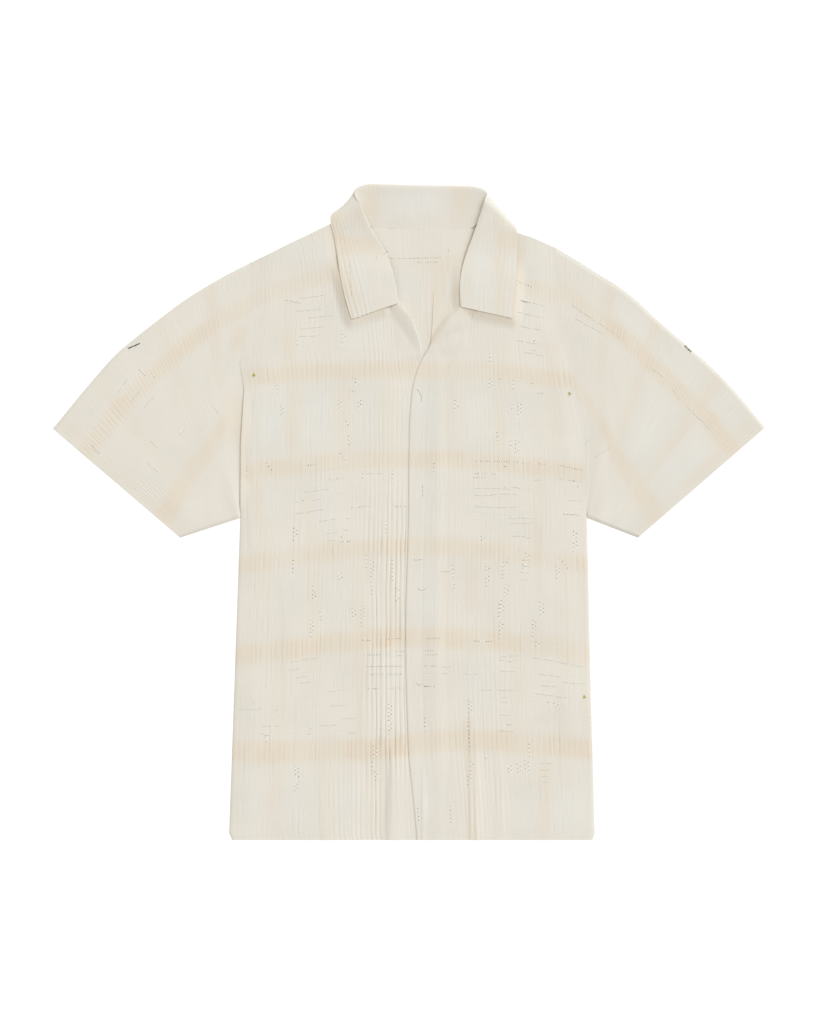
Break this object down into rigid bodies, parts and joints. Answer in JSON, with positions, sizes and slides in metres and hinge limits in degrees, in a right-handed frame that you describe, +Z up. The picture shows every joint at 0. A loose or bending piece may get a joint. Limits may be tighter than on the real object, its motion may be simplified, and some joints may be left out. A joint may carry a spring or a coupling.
{
  "type": "short-sleeve shirt",
  "caption": "Short-sleeve open-collar shirt in fine pleated cloth, laid flat on its back with the wearer's left front on top.",
  "frame": {"origin": "on the surface that the shirt lies on, under the middle of the whole shirt", "axes": "+X to the wearer's left, across both sleeves; +Y from the hem to the collar; +Z up from the surface"},
  "size_m": [0.8348, 0.768, 0.0125],
  "materials": {
    "pleated_cloth": "fine pressed pleats, matt with a soft sheen",
    "band_cloth": "smooth, matt",
    "collar_cloth": "smooth with a few faint pleats, matt"
  },
  "bodies": {
    "root": {"back": "pleated_cloth", "front_right": "pleated_cloth", "front_left": "pleated_cloth", "front_band": "band_cloth", "sleeve_right": "pleated_cloth", "sleeve_left": "pleated_cloth", "collar": "collar_cloth"}
  },
  "joints": []
}
